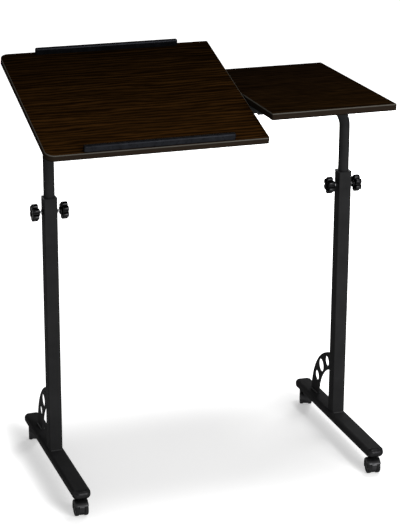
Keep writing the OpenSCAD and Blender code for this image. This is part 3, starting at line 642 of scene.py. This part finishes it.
# The level side top is a particle board with a dark walnut laminate on both faces and a thin
# plastic band round its edge, rounded along its rims.
top_t = 15 * mm
corner_r = 3 * mm
corner_steps = 10
band_t = 1 * mm
band_round = 0.8 * mm
band_round_steps = 4
walnut = ((0.0, (0.0075, 0.0032, 0.0008)), (0.3, (0.0165, 0.0069, 0.0016)),
          (0.6, (0.0298, 0.0124, 0.0029)), (0.95, (0.056, 0.0225, 0.0051)))
swirl_share = 0.62
streak_share = (-0.18, 0.36)
# Painted shade: the side top's colour is darkened, more so at its back, as it is less lit than the
# tilted top.
side_painted_shade = ((0.6, 0.69, 0.9), (0.28, 0.36, 0.75))
band_dark = (0.075, 0.07, 0.06)
band_light = (0.098, 0.092, 0.08)
# Painted highlight and shade: the band's colour is multiplied up along its upper rim, which faces
# the light, and down along its lower rim, which faces away from it.
band_rim_painted_light = ((0.1, (0.1, 0.075, 0.055)), (0.16, (0.225, 0.17, 0.14)),
             (0.82, (0.225, 0.17, 0.14)), (0.88, (1.0, 1.0, 1.0)))


def walnut_laminate(name, turn, span, painted_shade):
    """Printed walnut: swirling bands, fine streaks along the width, pores and a half gloss.

    Painted shade: the colour is darkened towards the back, where the top is less lit;
    painted_shade holds its two colours at the front and back of span.
    """
    wood = Finish(name, roughness=0.42, specular=0.0)
    level = (-turn, 0, 0)
    turned = wood.node("ShaderNodeMapping", Vector=wood.place, Rotation=level)
    laid = wood.node("ShaderNodeMapping", Vector=turned.outputs["Vector"], Scale=(0.9, 5.5, 5.5))
    swirls = wood.node("ShaderNodeTexWave", Vector=laid.outputs["Vector"], Scale=5.0,
                       Distortion=9.0, Detail=3.0, Detail_Scale=1.3, Detail_Roughness=0.6)
    swirls.bands_direction = "Y"
    streaks = wood.noise(scale=1.0, stretch=(5, 150, 150), turn=level, detail=6.0)
    mixed = wood.node("ShaderNodeMapRange", Value=streaks, From_Min=0.3, From_Max=0.72,
                      To_Min=streak_share[0], To_Max=streak_share[1])
    total = math_node(wood.tree, "MULTIPLY_ADD", swirls.outputs["Fac"], swirl_share,
                      mixed.outputs["Result"])
    parts = wood.node("ShaderNodeSeparateXYZ", Vector=turned.outputs["Vector"])
    along = wood.node("ShaderNodeMapRange", Value=parts.outputs["Y"], From_Min=span[0],
                      From_Max=span[1])
    # Painted shade: the walnut is multiplied by a colour that darkens towards the back.
    painted_light_and_shade = wood.ramp(along.outputs["Result"], (0.0, painted_shade[0]), (1.0, painted_shade[1]))
    wood.set("Base Color", math_node(wood.tree, "MULTIPLY", wood.ramp(total, *walnut), painted_light_and_shade,
                                     kind="ShaderNodeVectorMath"))
    wood.set("Roughness", wood.between(streaks, low=0.36, high=0.48))
    pores = wood.noise(scale=1.0, stretch=(60, 1600, 1600), turn=level)
    wood.bump(pores, depth=0.03 * mm)
    return wood.material


def band_plastic(name, turn, low):
    """Edge band: grey-brown plastic, with a painted highlight along its upper rim and painted shade
    along its lower one.
    """
    plastic = Finish(name, roughness=0.34, specular=0.0)
    turned = plastic.node("ShaderNodeMapping", Vector=plastic.place, Rotation=(-turn, 0, 0))
    parts = plastic.node("ShaderNodeSeparateXYZ", Vector=turned.outputs["Vector"])
    height = plastic.node("ShaderNodeMapRange", Value=parts.outputs["Z"], From_Min=low,
                          From_Max=low + top_t)
    # Painted highlight on the upper rim and painted shade on the lower rim.
    painted_light_and_shade = plastic.ramp(height.outputs["Result"], *band_rim_painted_light)
    streaks = plastic.noise(scale=1.0, stretch=(20, 20, 900), detail=4.0)
    colour = plastic.two_tone(streaks, band_dark, band_light)
    plastic.set("Base Color", math_node(plastic.tree, "MULTIPLY", colour, painted_light_and_shade,
                                        kind="ShaderNodeVectorMath"))
    plastic.set("Roughness", plastic.between(plastic.noise(scale=200), low=0.28, high=0.4))
    plastic.bump(streaks, depth=0.02 * mm)
    return plastic.material


def rounded_plan(x0, x1, y0, y1, left_r, right_r):
    """Points and outward normals round a rectangle with rounded corners, anticlockwise."""
    corners = ((x1 - right_r, y0 + right_r, right_r, -90), (x1 - right_r, y1 - right_r, right_r, 0),
               (x0 + left_r, y1 - left_r, left_r, 90), (x0 + left_r, y0 + left_r, left_r, 180))
    plan = []
    for x, y, radius, start in corners:
        for i in range(corner_steps + 1):
            angle = math.radians(start + 90 * i / corner_steps)
            normal = Vector((math.cos(angle), math.sin(angle), 0))
            plan.append((Vector((x, y, 0)) + normal * radius, normal))
    return plan


def add_band(bm, plan, low_z, place=Matrix()):
    """The edge band: a strip of the plan's outline with rounded outer rims."""
    rim = []
    for i in range(band_round_steps + 1):
        angle = math.radians(90 * i / band_round_steps)
        rim.append((band_round * (1 - math.cos(angle)), band_round * (1 - math.sin(angle))))
    profile = [(-inset, top_t - drop) for inset, drop in rim]
    profile += [(-band_t, top_t), (-band_t, 0.0)]
    profile += [(-inset, drop) for inset, drop in reversed(rim)]
    rings = [[point + normal * out + Vector((0, 0, low_z + height)) for out, height in profile]
             for point, normal in plan]
    skin(bm, rings, place, loop=True)


side_low, side_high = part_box("side_edging")
dress(walnut_laminate("walnut_side", 0.0, (side_low.y, side_high.y), side_painted_shade), "side_board")
band = bmesh.new()
side_plan = rounded_plan(side_low.x, side_high.x, side_low.y, side_high.y, corner_r, corner_r)
add_band(band, side_plan, side_low.z)
side_plastic = band_plastic("side_edge_plastic", 0.0, side_low.z)
piece("side_edge_band", band, side_plastic, "upper_frame", "side_edging", sharp=50)

# Two one-piece moulded mounts hold the side top: each is a ring round the crossbar under a
# flange, with two wood screws up into the board.
mount_plastic = moulded_plastic("mount_plastic", low=0.42, high=0.55, grain=0.02 * mm)
dress(mount_plastic, "side_mounts")

# The tilting top is made like the side top, with its two outer corners well rounded. It turns
# with its clamps about the crossbar, and rests tilted with its front edge down.
tilt = math.radians(17)
top_depth = 442 * mm
top_front = -176 * mm
top_rear = top_front + top_depth
seat_h = 15.5 * mm
outer_corner_r = 20 * mm
# Painted shade: the tilted top's colour darkens towards its back.
main_painted_shade = ((1.0, 1.0, 1.0), (0.25, 0.29, 0.33))
crossbar = Vector(joints["top_tilt"]["pos_m"])
tilted = Matrix.Translation((0, crossbar.y, crossbar.z)) @ Matrix.Rotation(tilt, 4, "X")
axis_at = tilted.inverted().to_3x3() @ tilted.translation
span = (axis_at.y + top_front, axis_at.y + top_rear)
dress(walnut_laminate("walnut_main", tilt, span, main_painted_shade), "main_board")
main_low, main_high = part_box("main_edging")
band = bmesh.new()
main_plan = rounded_plan(main_low.x, main_high.x, top_front, top_rear, outer_corner_r, corner_r)
add_band(band, main_plan, seat_h, tilted)
main_plastic = band_plastic("main_edge_plastic", tilt, axis_at.z + seat_h)
piece("main_edge_band", band, main_plastic, "main_top", "main_edging", sharp=50)

# Two satin plastic bars keep books and papers on the tilted top. Each is screwed on from below,
# with its upper rims and its ends rounded.
bar_w = 11 * mm
bar_h = 14 * mm
bar_set_in = 3 * mm
bar_end_r = 3.5 * mm
bar_least_r = 0.25 * mm
bar_rim = ((0.0, bar_h), (0.0, 2.6 * mm), (0.15 * mm, 1.7 * mm), (0.55 * mm, 0.9 * mm),
           (1.15 * mm, 0.35 * mm), (2.0 * mm, 0.08 * mm), (3.2 * mm, 0.0))
bar_near_ys = (top_front + bar_set_in, top_rear - bar_set_in - bar_w)
bar_dark = (0.007, 0.0075, 0.009)
bar_light = (0.011, 0.0117, 0.0138)


def bar_plastic():
    """Blue-black satin plastic with a fine grain."""
    plastic = Finish("bar_plastic", roughness=0.3, specular=0.02, metallic=0.7)
    plastic.shader.inputs["Specular Tint"].default_value = (*edge_shine, 1.0)
    plastic.set("Base Color", plastic.two_tone(plastic.noise(scale=60), bar_dark, bar_light))
    plastic.set("Roughness", plastic.between(plastic.noise(scale=120), low=0.24, high=0.36))
    plastic.bump(plastic.noise(scale=2400, detail=1.0), depth=0.006 * mm)
    return plastic.material


def add_bar(bm, x0, x1, y0, place):
    """A bar on the top: straight sides, rounded upper rims and a slightly crowned face.

    The rim is given as (in from the sides, down from the face).
    """
    face = seat_h + top_t + bar_h
    rings = []
    for inset, drop in bar_rim:
        radius = max(bar_end_r - inset, bar_least_r)
        plan = rounded_plan(x0 + inset, x1 - inset, y0 + inset, y0 + bar_w - inset, radius, radius)
        rings.append([point + Vector((0, 0, face - drop)) for point, normal in plan])
    skin(bm, rings, place)


satin_bar = bar_plastic()
for node, near in zip(("front_bar", "rear_bar"), bar_near_ys):
    low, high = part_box(node)
    bar = bmesh.new()
    add_bar(bar, low.x, high.x, near, tilted)
    piece(f"{node}_moulding", bar, satin_bar, "main_top", node, sharp=40)

# Two tilt clamps grip the crossbar: an upper jaw screwed under the tilting top, a lower jaw, a
# fixed bolt behind and a knob in front.
tilt_knob_drop = 20.3 * mm
tilt_screw_y = -22 * mm
tilt_screw_above = 13 * mm
clamp_xs = []
dress(mount_plastic, "tilt_brackets", "tilt_caps")
dress(zinc, "cap_bolts")
for side in sides:
    node = f"{side}_tilt_knob"
    low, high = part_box(node)
    clamp_x = (low.x + high.x) / 2
    clamp_xs.append(clamp_x)
    hanging = tilted @ Matrix.Translation((clamp_x, tilt_screw_y, -tilt_knob_drop))
    hanging = hanging @ Matrix.Rotation(math.pi, 4, "X")
    head = bmesh.new()
    add_knob(head, hanging)
    piece(f"{node}_moulding", head, knob_plastic, node, node, sharp=50)
    shaft = bmesh.new()
    add_thread(shaft, hanging, -tilt_knob_drop - tilt_screw_above, knob_hub_h + screw_in_head)
    piece(f"{side}_tilt_threaded_screw", shaft, zinc, node,
          f"{side}_tilt_screw", sharp=25)

# Wood screws with a cross recess hold the mounts, the clamps and the bars from below. Their
# heads taper a little, and each stands at its own angle.
screw_steps = 64
screw_head_r = 4 * mm
screw_head_low_r = 3 * mm
screw_head_h = 2.4 * mm
screw_head_bevel = 0.25 * mm
screw_head_lip = 0.3 * mm
screw_face_radii = [radius * mm for radius in (0.1, 0.35, 0.5, 0.8, 1.1, 1.4, 1.7, 1.9, 2.2, 2.7)]
shank_r = 2 * mm
recess_r = 1.9 * mm
recess_half_w = 0.42 * mm
recess_depth = 1.3 * mm
screw_seed = 7
bite = 11 * mm
bar_bite = 9 * mm
plate_t = 3 * mm
flange_t = 6 * mm
bracket_screw_x = 13.5 * mm
bracket_screw_y = 45.5 * mm
bar_screw_from_end = 40 * mm
mount_half_w = 12 * mm
mount_screw_y = 27.5 * mm


def wood_screw(length):
    """A screw pointing up: its head hangs under the origin, with a cross recess in its face."""
    rings = []
    for radius in screw_face_radii:
        ring = []
        for x, y, z in circle(radius, -screw_head_h, screw_steps):
            inside = min(abs(x), abs(y)) < recess_half_w and radius < recess_r
            ring.append((x, y, z + recess_depth if inside else z))
        rings.append(ring)
    for radius, height in ((screw_head_low_r, screw_head_bevel - screw_head_h),
                           (screw_head_r, -screw_head_lip), (screw_head_r, 0.0),
                           (shank_r, 0.0), (shank_r, length)):
        rings.append(circle(radius, height, screw_steps))
    bm = bmesh.new()
    skin(bm, rings)
    return new_object("wood_screw", mesh_of(bm, "wood_screw"))


def screw_tree(material):
    """Geometry Nodes: puts a screw on each point of a mesh, turned at random about its length."""
    tree = bpy.data.node_groups.new("screw_set", "GeometryNodeTree")
    interface = tree.interface
    interface.new_socket("Points", in_out="INPUT", socket_type="NodeSocketGeometry")
    interface.new_socket("Screw", in_out="INPUT", socket_type="NodeSocketObject")
    interface.new_socket("Tilt", in_out="INPUT", socket_type="NodeSocketFloat")
    seed = interface.new_socket("Seed", in_out="INPUT", socket_type="NodeSocketInt")
    seed.default_value = screw_seed
    interface.new_socket("Screws", in_out="OUTPUT", socket_type="NodeSocketGeometry")
    given = tree.nodes.new("NodeGroupInput")
    result = tree.nodes.new("NodeGroupOutput")
    link = tree.links.new
    picked = tree.nodes.new("GeometryNodeObjectInfo")
    link(given.outputs["Screw"], picked.inputs["Object"])
    chance = tree.nodes.new("FunctionNodeRandomValue")
    chance.data_type = "FLOAT"
    chance.inputs["Max"].default_value = math.pi / 2
    link(given.outputs["Seed"], chance.inputs["Seed"])
    lean = tree.nodes.new("ShaderNodeCombineXYZ")
    link(given.outputs["Tilt"], lean.inputs["X"])
    spin = tree.nodes.new("ShaderNodeCombineXYZ")
    link(chance.outputs["Value"], spin.inputs["Z"])
    leant = tree.nodes.new("FunctionNodeEulerToRotation")
    link(lean.outputs["Vector"], leant.inputs["Euler"])
    spun = tree.nodes.new("FunctionNodeEulerToRotation")
    link(spin.outputs["Vector"], spun.inputs["Euler"])
    both = tree.nodes.new("FunctionNodeRotateRotation")
    both.rotation_space = "LOCAL"
    link(leant.outputs["Rotation"], both.inputs["Rotation"])
    link(spun.outputs["Rotation"], both.inputs["Rotate By"])
    placed = tree.nodes.new("GeometryNodeInstanceOnPoints")
    link(given.outputs["Points"], placed.inputs["Points"])
    link(picked.outputs["Geometry"], placed.inputs["Instance"])
    link(both.outputs["Rotation"], placed.inputs["Rotation"])
    end_tree(tree, placed.outputs["Instances"], material, result.inputs["Screws"])
    return tree


def socket_id(tree, name):
    """The identifier of a tree's input."""
    return next(item.identifier for item in tree.interface.items_tree
                if item.name == name and item.in_out == "INPUT")


def add_screws(name, points, length, lean, body, stands_for):
    """A set of like screws at points, as one plain mesh on one body."""
    mesh = bpy.data.meshes.new(name)
    mesh.from_pydata([tuple(point) for point in points], [], [])
    one = wood_screw(length)
    settings = {socket_id(screws, "Screw"): one, socket_id(screws, "Tilt"): lean}
    made = settle(new_object(name, mesh), screws, f"{name}_set", settings=settings, sharp=30)
    bpy.data.objects.remove(one)
    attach(made, body)
    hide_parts(stands_for)


screws = screw_tree(zinc)
bracket_points = [tilted @ Vector((x + dx, y, seat_h - plate_t))
                  for x in clamp_xs for dx in (-bracket_screw_x, bracket_screw_x)
                  for y in (-bracket_screw_y, bracket_screw_y)]
add_screws("bracket_screws", bracket_points, plate_t + bite, tilt, "main_top", "bracket_screws")
bar_low, bar_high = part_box("front_bar")
bar_points = [tilted @ Vector((x, near + bar_w / 2, seat_h))
              for x in (bar_low.x + bar_screw_from_end, bar_high.x - bar_screw_from_end)
              for near in bar_near_ys]
add_screws("bar_screws", bar_points, top_t + bar_bite, tilt, "main_top", "bar_screws")
mount_low, mount_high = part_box("side_mounts")
side_points = [Vector((x, crossbar.y + y, side_low.z - flange_t))
               for x in (mount_low.x + mount_half_w, mount_high.x - mount_half_w)
               for y in (-mount_screw_y, mount_screw_y)]
add_screws("side_screws", side_points, flange_t + bite, 0.0, "upper_frame", "side_screws")

# The studio: a plain pale floor that keeps the shadow and is white around the desk, with a
# painted shadow under the desk where its glow is weaker, a large soft light in front, a small one
# high on the right and a large one low behind on the right, and the camera at the photograph's
# place.
floor_size = 60
floor_grey = (0.9, 0.9, 0.9)
# Painted shadow: over this patch under the desk the floor's glow is weaker, so it is grey even
# where no light is blocked.
painted_shadow_core = (0.37, 0.1)
painted_shadow_fade = (0.09, 0.53)
# The floor's glow under the desk and away from it: the lower value paints the shadow.
floor_glow = (0.32, 1.0)
world_strength = (0.25, 1.0)
camera_place = (-1.30524, -3.82, 1.84855)
camera_yaw = math.radians(18.925)
camera_pitch = math.radians(18.872)
camera_roll = math.radians(0.278)
camera_lens = 125.13


def lit_rays(tree, *kinds):
    """One for the rays of the given kinds and zero for all others."""
    rays = tree.nodes.new("ShaderNodeLightPath")
    total = 0.0
    for kind in kinds:
        total = math_node(tree, "MAXIMUM", total, rays.outputs[kind])
    return total


def floor_paint():
    """Pale floor with a glow to the camera: white around the desk, and weaker under it as a painted
    shadow.
    """
    paint = Finish("studio_floor", roughness=0.6, specular=0.0)
    paint.shader.inputs["Base Color"].default_value = (*floor_grey, 1.0)
    parts = paint.node("ShaderNodeSeparateXYZ", Vector=paint.place)
    away = []
    for axis, core, fade in zip("XY", painted_shadow_core, painted_shadow_fade):
        off = math_node(paint.tree, "ABSOLUTE", parts.outputs[axis])
        faded = paint.node("ShaderNodeMapRange", Value=off, From_Min=core, From_Max=core + fade)
        away.append(faded.outputs["Result"])
    both = paint.node("ShaderNodeCombineXYZ", X=away[0], Y=away[1])
    far = paint.node("ShaderNodeVectorMath", Vector=both.outputs["Vector"])
    far.operation = "LENGTH"
    glow = paint.node("ShaderNodeMapRange", Value=far.outputs["Value"], To_Min=floor_glow[0],
                      To_Max=floor_glow[1])
    glow.interpolation_type = "SMOOTHSTEP"
    paint.set("Emission Strength", glow.outputs["Result"])
    seen = lit_rays(paint.tree, "Is Camera Ray", "Is Glossy Ray")
    white = paint.node("ShaderNodeCombineColor", Red=seen, Green=seen, Blue=seen)
    paint.set("Emission Color", white.outputs["Color"])
    return paint.material


def soft_light(name, place, aim, size, power):
    """A round area light at a place, turned to what it aims at."""
    lamp = bpy.data.lights.new(name, "AREA")
    lamp.shape = "DISK"
    lamp.size = size
    lamp.energy = power
    made = new_object(name, lamp)
    made.location = place
    made.rotation_euler = (Vector(aim) - Vector(place)).to_track_quat("-Z", "Y").to_euler()


def studio_world():
    """White to the camera, to gloss and through glass; a plain grey for soft light."""
    world = bpy.data.worlds.new("studio")
    world.use_nodes = True
    tree = world.node_tree
    background = tree.nodes["Background"]
    strength = tree.nodes.new("ShaderNodeMapRange")
    seen = lit_rays(tree, "Is Camera Ray", "Is Glossy Ray", "Is Transmission Ray")
    feed(tree, strength.inputs["Value"], seen)
    feed(tree, strength.inputs["To Min"], world_strength[0])
    feed(tree, strength.inputs["To Max"], world_strength[1])
    feed(tree, background.inputs["Strength"], strength.outputs["Result"])
    feed(tree, background.inputs["Color"], (1, 1, 1, 1))
    bpy.context.scene.world = world


grid = bmesh.new()
bmesh.ops.create_grid(grid, x_segments=1, y_segments=1, size=floor_size / 2)
mesh = bpy.data.meshes.new("studio_floor")
grid.to_mesh(mesh)
grid.free()
mesh.materials.append(floor_paint())
new_object("studio_floor", mesh)
studio_world()
soft_light("key_light", place=(0.9, -3.0, 1.5), aim=(0, 0, 0.6), size=1.6, power=75)
soft_light("high_light", place=(0.9, 0.1, 3.2), aim=(0, 0, 0.2), size=0.8, power=20)
soft_light("rear_light", place=(2.2, 2.6, 0.9), aim=(0, 0, 0.5), size=1.6, power=58)

lens = bpy.data.cameras.new("camera")
lens.lens = camera_lens
camera = new_object("camera", lens)
forward = Vector((math.sin(camera_yaw) * math.cos(camera_pitch),
                  math.cos(camera_yaw) * math.cos(camera_pitch), -math.sin(camera_pitch)))
level = Vector((math.cos(camera_yaw), -math.sin(camera_yaw), 0))
upward = level.cross(forward)
right = level * math.cos(camera_roll) + upward * math.sin(camera_roll)
raised = upward * math.cos(camera_roll) - level * math.sin(camera_roll)
turned = Matrix((right, raised, -forward)).transposed().to_4x4()
camera.matrix_world = Matrix.Translation(camera_place) @ turned
bpy.context.scene.camera = camera
bpy.context.scene.view_settings.view_transform = "Standard"
